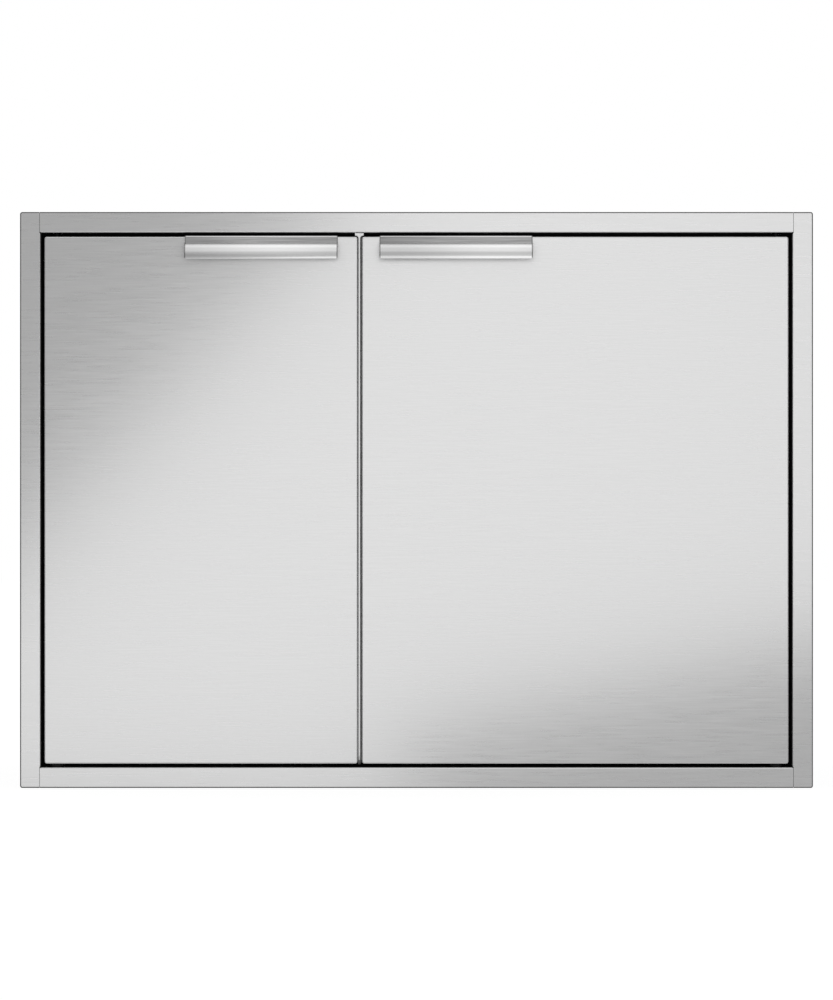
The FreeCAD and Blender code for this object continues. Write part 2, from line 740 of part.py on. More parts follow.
def build_handle(side):
    body = new_body()
    low, high = handle_span(side)
    bind(body, Placement__Base__x=low)
    thin = "handle_sheet"
    section = new_sketch(body, "YZ_Plane")
    outline(section, [
        ("front + handle_leg", "handle_top"),
        (f"front - {thin}", "handle_top"),
        (f"front - {thin} - handle_lean", "handle_shelf"),
        ("handle_nose", "handle_shelf"),
        ("handle_nose", "handle_low"),
        ("handle_nose + handle_lip", "handle_low"),
        ("handle_nose + handle_lip", f"handle_low + {thin}"),
        (f"handle_nose + {thin}", f"handle_low + {thin}"),
        (f"handle_nose + {thin}", f"handle_shelf - {thin}"),
        ("front - handle_lean", f"handle_shelf - {thin}"),
        ("front", f"handle_top - {thin}"),
        ("front + handle_leg", f"handle_top - {thin}"),
    ])
    pad(body, section, "handle_width")
    wall = size("handle_sheet")
    shelf_drop = size("handle_band")

    def along(e):
        return e.XLength > TOUCH

    def outer_bend(e, b):
        return along(e) and on(e, "Y", b.YMin) and on(e, "Z", b.ZMax - shelf_drop)

    def inner_bend(e, b):
        return along(e) and on(e, "Y", b.YMin + wall) and on(e, "Z", b.ZMax - shelf_drop - wall)

    def outer_lip(e, b):
        return along(e) and on(e, "Y", b.YMin) and on(e, "Z", b.ZMin)

    def top_bend(e, b):
        return along(e) and on(e, "Z", b.ZMax) and e.YMax < b.YMax - TOUCH

    soften(body, "handle_bend", outer_bend)
    soften(body, "handle_bend - handle_sheet", inner_bend)
    soften(body, "handle_sheet", outer_lip)
    soften(body, "handle_hem", top_bend)

    sinks = [taper("Z", "handle_screw / 2 + pin_clearance", "handle_screw_head / 2 + pin_clearance",
                   thin, x, y, "door_high") for x, y in handle_screw_places(side)]
    corners = []
    for run, middle in (((f"{low} - {thin}", f"{low} + handle_corner"), f"{low} + handle_corner"),
                        ((f"{high} - handle_corner", f"{high} + {thin}"), f"{high} - handle_corner")):
        block = plate(run, (f"handle_nose - {thin}", f"handle_nose + handle_lip + {thin}"),
                      (f"handle_low - {thin}", "handle_low + handle_corner"))
        round_off = rod("Y", "handle_corner", f"handle_lip + 4 * {thin}", middle,
                        f"handle_nose - 2 * {thin}", "handle_low + handle_corner")
        corners.append(remove(block, [round_off]))
    keep(remove(body, [*sinks, *corners]), f"{side}_handle")
    screws = []
    for x, y in handle_screw_places(side):
        screws.append(taper("Z", "handle_screw / 2", "handle_screw_head / 2", thin, x, y, "door_high"))
        screws.append(rod("Z", "handle_screw / 2", "handle_screw_length", x, y,
                          "door_high - handle_screw_length"))
    keep(join(screws), f"{side}_handle_screws")


# Magnetic catches: a housing hung behind the top flange, and a steel strike on the door's liner


def build_catch(side, middle):
    half = "catch_width / 2"
    across = (f"{middle} - {half}", f"{middle} + {half}")
    shell = plate(across, ("catch_face", "catch_face + catch_body"), ("catch_low", "catch_high"))
    ear = plate(across, ("flange_back", "catch_ear_back"), ("catch_high", "mouth_high + catch_ear"))
    magnet_x = (f"{middle} - magnet_width / 2", f"{middle} + magnet_width / 2")
    magnet_z = ("catch_middle - magnet_height / 2", "catch_middle + magnet_height / 2")
    cell = plate(magnet_x, ("catch_face", "catch_face + magnet_depth"), magnet_z)
    spots = spread(f"{middle} - catch_screw_spread / 2", f"{middle} + catch_screw_spread / 2", 2)
    screw_z = "mouth_high + catch_ear / 2"
    holes = [rod("Y", "catch_screw / 2 + pin_clearance", "2 * catch_ear_thickness", x,
                 "flange_back", screw_z) for x in spots]
    keep(remove(join([shell, ear]), [cell, *holes]), f"{side}_catch_housing")
    keep(plate(magnet_x, ("catch_face", "catch_face + magnet_depth"), magnet_z),
         f"{side}_catch_magnet")
    screws = []
    for x in spots:
        screws.append(rod("Y", "catch_screw / 2", "catch_ear_thickness", x, "flange_back", screw_z))
        screws.append(taper("Y", "catch_screw_head / 2", "catch_screw_head / 3", "catch_screw / 2",
                            x, "catch_ear_back", screw_z))
    keep(join(screws), f"{side}_catch_screws")
    keep(plate((f"{magnet_x[0]} - strike_border", f"{magnet_x[1]} + strike_border"),
               ("door_back", "strike_face"),
               (f"{magnet_z[0]} - strike_border", f"{magnet_z[1]} + strike_border")),
         f"{side}_strike_plate")


# Shelves: folded trays on clips hooked into slotted standards


def step_from(wall, inward, by):
    """A place some way in from a wall, where inward is + or -."""
    return f"{wall} {inward} ({by})"


def ordered(inward, near_end, far_end):
    return (near_end, far_end) if inward == "+" else (far_end, near_end)


def shelf_standard(wall, inward, y):
    face = step_from(wall, inward, "standard_depth")
    inner_face = step_from(wall, inward, "standard_depth - standard_sheet")
    half = "standard_width / 2"
    height = ("standard_low", "standard_high")
    bar = plate(ordered(inward, wall, face), (f"{y} - {half}", f"{y} + {half}"), height)
    channel_cut = plate(ordered(inward, wall, inner_face),
                        (f"{y} - {half} + standard_sheet", f"{y} + {half} - standard_sheet"), height)
    slots = []
    for i in range(SLOT_COUNT):
        middle = f"slot_start + {i} * slot_pitch"
        slots.append(plate(ordered(inward, inner_face, face),
                           (f"{y} - slot_width / 2", f"{y} + slot_width / 2"),
                           (f"{middle} - slot_height / 2", f"{middle} + slot_height / 2")))
    return remove(bar, [channel_cut, *slots])


def shelf_clip(wall, inward, y, slot):
    face = step_from(wall, inward, "standard_depth")
    middle = f"slot_start + {slot} * slot_pitch"
    level = (f"{middle} - clip_thickness / 2", f"{middle} + clip_thickness / 2")
    across = (f"{y} - slot_width / 2 + clip_play", f"{y} + slot_width / 2 - clip_play")
    tip = step_from(wall, inward, "standard_depth + clip_reach")
    root = step_from(wall, inward, "standard_depth - standard_sheet")
    web_face = step_from(wall, inward, "standard_depth + clip_thickness / 2")
    tongue = plate(ordered(inward, root, tip), across, level)
    web = plate(ordered(inward, face, web_face), across, (f"{level[0]} - clip_web", level[0]))
    return join([tongue, web])


def shelf_tray(low_wall, high_wall, slot):
    away = "standard_depth + shelf_gap"
    across = (f"{low_wall} + {away}", f"{high_wall} - ({away})")
    along = ("flange_back + shelf_front", "flange_rear - shelf_back")
    level = f"slot_start + {slot} * slot_pitch + clip_thickness / 2"
    body = new_body()
    bind(body, Placement__Base__z=level)
    blank = new_sketch(body, "XY_Plane")
    rectangle(blank, across, along)
    pad(body, blank, "shelf_lip")
    soften(body, "shelf_bend", lambda e, b: on(e, "Z", b.ZMax) or e.ZLength > TOUCH)
    hollow = new_sketch(body, "XY_Plane")
    rectangle(hollow, inset(across, "shelf_sheet"), inset(along, "shelf_sheet"))
    pocket(body, hollow, "shelf_lip - shelf_sheet", backwards=True)
    return body


def build_shelf(side, low_wall, high_wall, slot):
    posts = [(wall, inward, y) for wall, inward in ((low_wall, "+"), (high_wall, "-"))
             for y in ("front_standard", "rear_standard")]
    keep(group([shelf_standard(*post) for post in posts]), f"{side}_shelf_standards")
    keep(group([shelf_clip(*post, slot) for post in posts]), f"{side}_shelf_clips")
    keep(shelf_tray(low_wall, high_wall, slot), f"{side}_shelf")


def build():
    places = back_rivet_places()
    build_frame()
    build_carcass(places)
    build_centre(places)
    nose_left, nose_right = "mullion_x - nose_width / 2", "mullion_x + nose_width / 2"
    build_seal("left", "left_seal_outer", "left_seal_inner",
               "-opening_half + fit_gap", f"{nose_left} - fit_gap")
    build_seal("right", "right_seal_inner", "right_seal_outer",
               f"{nose_right} + fit_gap", "opening_half - fit_gap")
    build_door("left", "left_door_outer", "left_door_inner", "left_pivot")
    build_door("right", "right_door_inner", "right_door_outer", "right_pivot")
    for side in ("left", "right"):
        build_hinges(side, f"{side}_pivot")
        build_handle(side)
        build_catch(side, f"{side}_catch")
    build_shelf("left", "left_wall", "divider_left", LEFT_SHELF_SLOT_COUNT)
    build_shelf("right", "divider_right", "right_wall", RIGHT_SHELF_SLOT_COUNT)
    doc.recompute()


def check():
    """Stops if an object failed or a finished piece isn't made of sound solids."""
    failed = [o.Name for o in doc.Objects if {"Invalid", "Error"} & set(o.State)]
    faulty = [p.Label for p in pieces
              if p.Shape.isNull() or not p.Shape.isValid() or not p.Shape.Solids]
    if failed or faulty:
        raise RuntimeError(f"failed objects {failed}, faulty pieces {faulty}")


def export():
    os.makedirs("parts", exist_ok=True)
    for piece in pieces:
        piece.Shape.exportStep(os.path.join("parts", f"{piece.Label}.step"))
        print(f"{piece.Label}: {len(piece.Shape.Solids)} solids, {piece.Shape.Volume:.0f} mm3")


build()
check()
export()
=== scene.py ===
# %% [markdown]
# # Outdoor kitchen pantry
# A built-in stainless unit for an outdoor kitchen: a folded face frame around two inset doors of
# unequal width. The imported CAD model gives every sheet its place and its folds. This lesson gives
# each sheet its finish, adds fasteners and a few thin linings, and lights the front the way a studio
# lights brushed steel: a white room with grey flags in it, so that the flat doors carry a soft
# gradient and the folds read as thin dark lines.

# %% Load the CAD model
import json
import math

import bmesh
import bpy
from mathutils import Matrix, Vector

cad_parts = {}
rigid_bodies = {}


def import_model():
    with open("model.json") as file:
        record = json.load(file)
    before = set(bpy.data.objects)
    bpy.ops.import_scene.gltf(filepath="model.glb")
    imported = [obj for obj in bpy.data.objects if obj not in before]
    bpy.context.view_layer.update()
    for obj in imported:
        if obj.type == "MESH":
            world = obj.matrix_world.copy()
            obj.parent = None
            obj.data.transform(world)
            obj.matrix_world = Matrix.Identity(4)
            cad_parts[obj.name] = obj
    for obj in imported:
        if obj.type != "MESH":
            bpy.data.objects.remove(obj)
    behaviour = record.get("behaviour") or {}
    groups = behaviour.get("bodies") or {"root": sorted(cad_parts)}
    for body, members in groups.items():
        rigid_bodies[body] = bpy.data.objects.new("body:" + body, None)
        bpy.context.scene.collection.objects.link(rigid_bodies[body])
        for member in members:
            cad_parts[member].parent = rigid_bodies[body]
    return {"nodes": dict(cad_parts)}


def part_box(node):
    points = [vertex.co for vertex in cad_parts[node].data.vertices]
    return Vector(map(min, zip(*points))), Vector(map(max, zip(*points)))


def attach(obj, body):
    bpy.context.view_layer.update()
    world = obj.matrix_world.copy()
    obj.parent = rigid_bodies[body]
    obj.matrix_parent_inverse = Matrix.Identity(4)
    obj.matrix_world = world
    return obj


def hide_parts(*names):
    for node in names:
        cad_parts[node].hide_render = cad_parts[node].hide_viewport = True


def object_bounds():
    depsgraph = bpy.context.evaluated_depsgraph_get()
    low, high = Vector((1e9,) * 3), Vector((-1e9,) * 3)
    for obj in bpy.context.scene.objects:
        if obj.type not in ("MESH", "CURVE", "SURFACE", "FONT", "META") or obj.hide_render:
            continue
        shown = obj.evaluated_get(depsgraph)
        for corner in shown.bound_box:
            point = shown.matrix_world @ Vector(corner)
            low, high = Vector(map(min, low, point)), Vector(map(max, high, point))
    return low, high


for stray in list(bpy.data.objects):
    bpy.data.objects.remove(stray)
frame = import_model()
nodes = frame["nodes"]
cad_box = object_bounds()
SIDES = ("left", "right")
MM = 0.001
print(f"{len(nodes)} nodes, box {[round(v, 4) for corner in cad_box for v in corner]}")

# %% [markdown]
# ## Places
# Nothing here is measured twice. The box of a CAD node tells where the front of the frame lies, how
# wide its mouth is and how high the whole unit stands.

# %% Places read from the frame
FACE_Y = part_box("frame_left_stile")[0].y
LOW_Z = cad_box[0].z
HIGH_Z = cad_box[1].z
MIDDLE_Z = (LOW_Z + HIGH_Z) / 2
MOUTH_X = (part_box("frame_left_stile")[1].x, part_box("frame_right_stile")[0].x)
MOUTH_Z = (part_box("frame_bottom_rail")[1].z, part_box("frame_top_rail")[0].z)
print(f"front at y {FACE_Y:.4f}, mouth x {MOUTH_X}, z {MOUTH_Z}")

# %% [markdown]
# ## A small kit for materials
# A procedural material is a graph of nodes. Typing each node and link by hand hides the idea behind
# the bookkeeping, so one helper adds a node, sets its values and wires its inputs in a single call.
# A Mix node has sockets of the same name for each kind of data, so its colour sockets go by number.

# %% Node helpers
MIX_DARK = 6
MIX_LIGHT = 7
MIX_RESULT = 2


def new_material(name):
    """An empty material with a Principled shader. Returns the material, its tree and the shader."""
    material = bpy.data.materials.new(name)
    material.use_nodes = True
    tree = material.node_tree
    shader = next(n for n in tree.nodes if n.type == "BSDF_PRINCIPLED")
    return material, tree, shader


def put(tree, value, socket):
    """Links a socket, or sets a plain value."""
    if isinstance(value, bpy.types.NodeSocket):
        tree.links.new(value, socket)
    else:
        socket.default_value = value


def add_node(tree, kind, settings=None, **inputs):
    """Adds a node. An input is a plain value, or a socket to link. Underscores stand for spaces."""
    node = tree.nodes.new(kind)
    for name, value in (settings or {}).items():
        setattr(node, name, value)
    for name, value in inputs.items():
        put(tree, value, node.inputs[name.replace("_", " ")])
    return node


def math_node(tree, operation, first, second=0.0, third=0.0):
    """One step of arithmetic on plain values or sockets."""
    node = add_node(tree, "ShaderNodeMath", {"operation": operation})
    for value, socket in zip((first, second, third), node.inputs):
        put(tree, value, socket)
    return node.outputs["Value"]


def apart(tree, first, second):
    """How far two numbers lie apart."""
    return math_node(tree, "ABSOLUTE", math_node(tree, "SUBTRACT", first, second))


def ramp(tree, factor, low, high, low_value, high_value):
    """A straight ramp: factor from low to high gives a number from low_value to high_value."""
    node = add_node(tree, "ShaderNodeMapRange", {"clamp": True}, Value=factor, From_Min=low,
                    From_Max=high, To_Min=low_value, To_Max=high_value)
    return node.outputs["Result"]


def stretched_noise(tree, scale, detail=2.0, roughness=0.5):
    """Noise on object coordinates with its own scale along each axis."""
    place = add_node(tree, "ShaderNodeTexCoord")
    mapping = add_node(tree, "ShaderNodeMapping", Vector=place.outputs["Object"], Scale=scale)
    noise = add_node(tree, "ShaderNodeTexNoise", Vector=mapping.outputs["Vector"],
                     Scale=1.0, Detail=detail, Roughness=roughness)
    return noise.outputs["Fac"]


def grey_mix(tree, factor, dark, light):
    """A colour that goes from a dark to a light one. Each is a plain colour or a socket."""
    mix = add_node(tree, "ShaderNodeMix", {"data_type": "RGBA"})
    put(tree, factor, mix.inputs["Factor"])
    for value, number in ((dark, MIX_DARK), (light, MIX_LIGHT)):
        colour = value if isinstance(value, bpy.types.NodeSocket) else (*value, 1.0)
        put(tree, colour, mix.inputs[number])
    return mix.outputs[MIX_RESULT]


def scaled(colour, by):
    """A colour made darker or lighter, up to white."""
    return tuple(min(1.0, channel * by) for channel in colour)


def grey(level):
    """A neutral colour."""
    return (level, level, level)


print("material helpers ready")

# %% [markdown]
# ## Brushed stainless
# The faces are brushed level: an abrasive belt leaves scratches centimetres long and a few
# hundredths of a millimetre high. Noise that is squeezed in height and drawn out along the sheet
# gives those scratches. A part of it tints the steel, so that fine lines show on an even reflection
# too. The rest goes into roughness and bump, which show where the reflection changes. The belt is
# flat, so it hardly touches the sides of a folded sheet. The outer folds of the frame take painted
# shade: a far darker colour that stands in for the dark line their reflection draws. On a fold the
# normal isn't along an axis, so the sum of its components to the fourth power drops below one.

# %% Brushed finish
LEVEL = (26.0, 26.0, 850.0)
STROKE_STRETCH = (0.33, 0.33, 0.24)
STROKE_SHARE = 0.2
GRAIN_RANGE = (0.30, 0.90)
ROUGH_SPREAD = 0.048
BUMP_STRENGTH = 0.35
FRAME_MIDDLE = ((cad_box[0].x + cad_box[1].x) / 2, MIDDLE_Z)
FRAME_HALF = ((cad_box[1].x - cad_box[0].x) / 2, (HIGH_Z - LOW_Z) / 2)
FOLD_REACH = 2.0 * MM
FOLD_BLUR = 0.1 * MM
FLAT_SUM = 0.99
BENT_SUM = 0.80
SIDE_NORMAL = 0.5
FACE_NORMAL = 0.9


def brushing(tree, along):
    """Fine hair with a few longer, bolder strokes: two stretched noises added."""
    hair = stretched_noise(tree, along, detail=1.0)
    stroke = stretched_noise(tree, [a * b for a, b in zip(along, STROKE_STRETCH)])
    return math_node(tree, "MULTIPLY_ADD", stroke, STROKE_SHARE, hair)


def painted_fold_shade_mask(tree):
    """1 on the folds along the rim of the frame, where shade is painted; 0 on flat sheet and on the
    inner folds.
    """
    place = add_node(tree, "ShaderNodeTexCoord")
    square = add_node(tree, "ShaderNodeVectorMath", {"operation": "MULTIPLY"})
    tree.links.new(place.outputs["Normal"], square.inputs[0])
    tree.links.new(place.outputs["Normal"], square.inputs[1])
    fourth = add_node(tree, "ShaderNodeVectorMath", {"operation": "DOT_PRODUCT"})
    tree.links.new(square.outputs["Vector"], fourth.inputs[0])
    tree.links.new(square.outputs["Vector"], fourth.inputs[1])
    bent = ramp(tree, fourth.outputs["Value"], FLAT_SUM, BENT_SUM, 0.0, 1.0)
    spot = add_node(tree, "ShaderNodeSeparateXYZ")
    tree.links.new(place.outputs["Object"], spot.inputs[0])
    near_rim = []
    for axis, middle, half in zip("XZ", FRAME_MIDDLE, FRAME_HALF):
        start = half - FOLD_REACH
        near_rim.append(ramp(tree, apart(tree, spot.outputs[axis], middle), start, start + FOLD_BLUR,
                             0.0, 1.0))
    return math_node(tree, "MULTIPLY", bent, math_node(tree, "MAXIMUM", *near_rim))


def facing_mask(tree, on_sides):
    """1 on sheet that faces ahead or back, and the given share on its folded sides."""
    place = add_node(tree, "ShaderNodeTexCoord")
    normal = add_node(tree, "ShaderNodeSeparateXYZ")
    tree.links.new(place.outputs["Normal"], normal.inputs[0])
    facing = math_node(tree, "ABSOLUTE", normal.outputs["Y"])
    return ramp(tree, facing, SIDE_NORMAL, FACE_NORMAL, on_sides, 1.0)


def brushed_steel(name, tone, roughness, contrast, lift, along=LEVEL, fold_shade_tone=1.0, on_sides=0.25):
    """Brushed sheet.

    contrast spreads its grey, lift is the bump's height, fold_shade_tone paints shade on the outer
    folds, and on_sides is the share of the bump that is left on the sides."""
    material, tree, shader = new_material(name)
    grain = brushing(tree, along)
    shade = ramp(tree, grain, *GRAIN_RANGE, 0.0, 1.0)
    colour = grey_mix(tree, shade, scaled(tone, 1.0 - contrast), scaled(tone, 1.0 + contrast))
    # Painted shade: the outer folds take a darker colour, for the dark line their reflection shows.
    if fold_shade_tone < 1.0:
        colour = grey_mix(tree, painted_fold_shade_mask(tree), colour, scaled(tone, fold_shade_tone))
    tree.links.new(colour, shader.inputs["Base Color"])
    tree.links.new(ramp(tree, shade, 0.0, 1.0, roughness - ROUGH_SPREAD, roughness + ROUGH_SPREAD),
                   shader.inputs["Roughness"])
    strength = math_node(tree, "MULTIPLY", facing_mask(tree, on_sides), BUMP_STRENGTH)
    bump = add_node(tree, "ShaderNodeBump", Height=grain, Strength=strength, Distance=lift)
    tree.links.new(bump.outputs["Normal"], shader.inputs["Normal"])
    shader.inputs["Metallic"].default_value = 1.0
    return material


STEEL_TONE = grey(0.75)
INNER_TONE = (0.68, 0.68, 0.69)
FRONT_TO_BACK = (700.0, 9.0, 1500.0)
face_steel = brushed_steel("face_steel", STEEL_TONE, roughness=0.30, contrast=0.044, lift=0.026 * MM)
# The frame's steel carries the painted shade on its outer folds.
rim_steel = brushed_steel("rim_steel", STEEL_TONE, roughness=0.30, contrast=0.024, lift=0.06 * MM,
                          fold_shade_tone=0.04)
inner_steel = brushed_steel("inner_steel", INNER_TONE, roughness=0.38, contrast=0.05,
                            lift=0.02 * MM, along=FRONT_TO_BACK, on_sides=1.0)
print("brushed finishes:", face_steel.name, rim_steel.name, inner_steel.name)

# %% [markdown]
# ## The handle's two finishes
# A handle is one strip. Its band, under the top fold, was brushed by hand and is coarse, and its
# colour is painted dark, as painted shade. The rounded lip below it was polished finer, most of all
# along its lower rim, which also carries a painted highlight. The height on the piece tells one from
# the other, so a single material serves both, with a step at the crease. A slow swell of painted
# light and shade runs along the strip, which is a cosine. A painted dark line about a millimetre
# wide, painted shade, closes each end.

# %% Handle finish
HANDLE_LOW_Z, HANDLE_TOP_Z = (corner.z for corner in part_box("left_handle"))
CREASE_Z = HANDLE_TOP_Z - 6.8 * MM
CREASE_BLUR = 0.2 * MM
HEM_Z = HANDLE_TOP_Z - 1.3 * MM
HEM_BLUR = 0.3 * MM
POLISH_AND_HIGHLIGHT_Z = HANDLE_LOW_Z + 3.2 * MM
HANDLE_ENDS_X = [corner.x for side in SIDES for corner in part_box(f"{side}_handle")]
# A painted dark line at each end of the strip, for the shade there.
END_SHADE_REACH = 0.7 * MM
END_SHADE_BLUR = 0.3 * MM
# A slow swell of painted light and shade along the strip.
SWELL_X = -131.0 * MM
SWELL_LENGTH = 211.0 * MM
SWELL_SHADE = 0.24
HAND_GRAIN = (30.0, 1500.0, 1500.0)
HAND_SCORES = (14.0, 900.0, 900.0)
HAND_LIFT = 0.008 * MM
SCORE_RANGE = (0.25, 0.75)
LIP_TONES = (scaled(STEEL_TONE, 1.02), scaled(STEEL_TONE, 1.05))
# The band's tones are painted shade, far darker than the steel.
BAND_SHADE_TONES = (scaled(STEEL_TONE, 0.27), scaled(STEEL_TONE, 0.76))
# A painted highlight on the lower rim, lighter than the steel.
RIM_HIGHLIGHT_TONE = scaled(STEEL_TONE, 1.3)
END_SHADE_TONE = scaled(STEEL_TONE, 0.25)
LIP_ROUGHNESS = 0.24
BAND_ROUGHNESS = 0.36
POLISH_GAIN = 0.12


def handle_finish():
    """One material: the band with painted shade, the lip, its lower rim with a painted highlight,
    a swell of painted light and shade along the strip, and a painted dark line at each end.
    """
    material, tree, shader = new_material("handle_steel")
    spot = add_node(tree, "ShaderNodeSeparateXYZ")
    tree.links.new(add_node(tree, "ShaderNodeTexCoord").outputs["Object"], spot.inputs[0])
    # Painted shade on the band, between the crease and the hem.
    above_crease = ramp(tree, spot.outputs["Z"], CREASE_Z, CREASE_Z + CREASE_BLUR, 0.0, 1.0)
    below_hem = ramp(tree, spot.outputs["Z"], HEM_Z, HEM_Z + HEM_BLUR, 1.0, 0.0)
    band = math_node(tree, "MULTIPLY", above_crease, below_hem)
    # The lower rim is smoother, and it carries a painted highlight.
    polish_and_highlight = ramp(tree, spot.outputs["Z"], POLISH_AND_HIGHLIGHT_Z, HANDLE_LOW_Z, 0.0, 1.0)
    grain = brushing(tree, HAND_GRAIN)
    coarse = stretched_noise(tree, HAND_SCORES, detail=3.0, roughness=0.7)
    lip = grey_mix(tree, ramp(tree, grain, *GRAIN_RANGE, 0.0, 1.0), *LIP_TONES)
    lip = grey_mix(tree, polish_and_highlight, lip, RIM_HIGHLIGHT_TONE)
    # The band's colour is painted shade, mottled by coarse scores.
    scored = grey_mix(tree, ramp(tree, coarse, *SCORE_RANGE, 0.0, 1.0), *BAND_SHADE_TONES)
    finish = grey_mix(tree, band, lip, scored)
    # Painted light and shade: the colour swells darker and lighter along the strip.
    turn = math_node(tree, "SUBTRACT", spot.outputs["X"], SWELL_X)
    light_and_shade_swell = math_node(tree, "COSINE", math_node(tree, "MULTIPLY", turn, 2 * math.pi / SWELL_LENGTH))
    finish = grey_mix(tree, ramp(tree, light_and_shade_swell, -1.0, 1.0, SWELL_SHADE, 0.0), finish, grey(0.0))
    # Painted shade: a dark line about a millimetre wide at each end.
    for end_x in HANDLE_ENDS_X:
        end_shade = ramp(tree, apart(tree, spot.outputs["X"], end_x), END_SHADE_REACH,
                       END_SHADE_REACH + END_SHADE_BLUR, 1.0, 0.0)
        finish = grey_mix(tree, end_shade, finish, END_SHADE_TONE)
    tree.links.new(finish, shader.inputs["Base Color"])
    roughness = ramp(tree, band, 0.0, 1.0, LIP_ROUGHNESS, BAND_ROUGHNESS)
    gain = math_node(tree, "MULTIPLY", polish_and_highlight, POLISH_GAIN)
    tree.links.new(math_node(tree, "SUBTRACT", roughness, gain), shader.inputs["Roughness"])
    bump = add_node(tree, "ShaderNodeBump", Height=grain, Strength=BUMP_STRENGTH, Distance=HAND_LIFT)
    tree.links.new(bump.outputs["Normal"], shader.inputs["Normal"])
    shader.inputs["Metallic"].default_value = 1.0
    return material


handle_steel = handle_finish()
print(f"handle crease at z {CREASE_Z:.4f}")

# %% [markdown]
# ## Hinge steel, rivets, rubber, sealant and plastics
# Small parts have their own skins: zinc plate is cloudy and a little warm, rivet aluminium is
# tumbled, and sealing rubber is a matt black with a faint bloom. The pins, bushes and washers are
# black too, as painted shade, so that they don't catch light in the gap around a door. The catch is
# moulded with a fine spark texture, the sealant is a dark grey, and the grey foam beside the centre
# post is painted shade for its slot. Two functions serve them all, one for metal and one for what is
# moulded.

# %% Small finishes
CLOUD_RANGE = (0.3, 0.7)
DULL = 0.08
BRIGHT = 0.06
MOULDED_BUMP = 0.3
MOULDED_SHINE = 0.2


def cloudy_metal(name, dark, light, roughness, size):
    """Plated or tumbled metal: soft clouds in colour and roughness."""
    material, tree, shader = new_material(name)
    cloud = stretched_noise(tree, (size, size, size), detail=4.0)
    shade = ramp(tree, cloud, *CLOUD_RANGE, 0.0, 1.0)
    tree.links.new(grey_mix(tree, shade, dark, light), shader.inputs["Base Color"])
    tree.links.new(ramp(tree, cloud, *CLOUD_RANGE, roughness + DULL, roughness - BRIGHT),
                   shader.inputs["Roughness"])
    shader.inputs["Metallic"].default_value = 1.0
    return material


def moulded(name, dark, light, roughness, size, lift):
    """Rubber or plastic: a fine grain that mottles the colour and lifts the surface."""
    material, tree, shader = new_material(name)
    grain = stretched_noise(tree, (size, size, size), detail=3.0)
    shade = ramp(tree, grain, *CLOUD_RANGE, 0.0, 1.0)
    tree.links.new(grey_mix(tree, shade, dark, light), shader.inputs["Base Color"])
    bump = add_node(tree, "ShaderNodeBump", Height=grain, Strength=MOULDED_BUMP, Distance=lift)
    tree.links.new(bump.outputs["Normal"], shader.inputs["Normal"])
    shader.inputs["Roughness"].default_value = roughness
    shader.inputs["Specular IOR Level"].default_value = MOULDED_SHINE
    return material


hinge_steel = cloudy_metal("hinge_steel", (0.42, 0.42, 0.44), (0.56, 0.55, 0.53), roughness=0.34,
                           size=900.0)
# Painted shade: the pins are near black, so that the gap around a door stays dark.
pin_steel_as_shade = cloudy_metal("pin_steel_as_shade", grey(0.006), (0.012, 0.012, 0.013), roughness=0.45, size=900.0)
rivet_aluminium = cloudy_metal("rivet_aluminium", (0.66, 0.66, 0.67), grey(0.78), roughness=0.36,
                               size=1200.0)
magnet_dark = cloudy_metal("magnet_dark", (0.10, 0.10, 0.11), (0.17, 0.17, 0.18), roughness=0.5,
                           size=700.0)
# Black rubber for the real seals, and as painted shade for the lining of the gap.
seal_rubber = moulded("seal_rubber", grey(0.004), grey(0.009), roughness=0.7, size=2500.0,
                      lift=0.04 * MM)
# Dark sealant for the seams, and as painted shade above the head of the post.
sealant_and_head_shade = moulded("sealant_and_head_shade", grey(0.07), grey(0.10), roughness=0.6, size=2500.0,
                       lift=0.02 * MM)
catch_plastic = moulded("catch_plastic", (0.018, 0.018, 0.019), (0.034, 0.034, 0.035),
                        roughness=0.48, size=3200.0, lift=0.05 * MM)
# Grey foam as painted shade in the slot beside the post.
slot_shade_foam = moulded("slot_shade_foam", grey(0.30), grey(0.38), roughness=0.8, size=2500.0, lift=0.02 * MM)
# Black bushes and washers, also painted shade in the gap around a door.
bush_plastic = moulded("bush_plastic", grey(0.004), grey(0.008), roughness=0.7, size=1500.0,
                       lift=0.02 * MM)
print("small finishes ready")

# %% [markdown]
# ## Dress the CAD sheets
# The CAD nodes already have the right folds, so they stay, and only their material changes. Names
# tell which finish a node takes: the first word of the list that is in the name counts. What has
# none of them, such as a wall of the carcass, is plain sheet brushed from front to back.

# %% Finish for every node
FINISH_BY_WORD = [
    ("rivets", rivet_aluminium),
    ("seal", seal_rubber),
    ("magnet", magnet_dark),
    ("catch_housing", catch_plastic),
    ("bushes", bush_plastic),
    ("washer", bush_plastic),
    ("hinge_pin", pin_steel_as_shade),
    ("screws", hinge_steel),
    ("hinge", hinge_steel),
    ("pivot", hinge_steel),
    ("strike", hinge_steel),
    ("clips", hinge_steel),
    ("brackets", inner_steel),
    ("handle", handle_steel),
    ("frame", rim_steel),
    ("skin", face_steel),
    ("mullion", face_steel),
]
for name, node in nodes.items():
    finish = next((f for word, f in FINISH_BY_WORD if word in name), inner_steel)
    for slot in node.material_slots:
        slot.material = finish
print(f"{len(nodes)} nodes dressed")

# %% [markdown]
# ## Thin trim
# Rubber, foam and sealant show only as thin lines around the doors, so plain boxes and wedges are
# enough for them. A bmesh collects the boxes of one piece. Their place is in the mesh, and the
# object stays at the origin, as a CAD node does, so that patterns on object coordinates hold still.

# %% Boxes, wedges and pieces


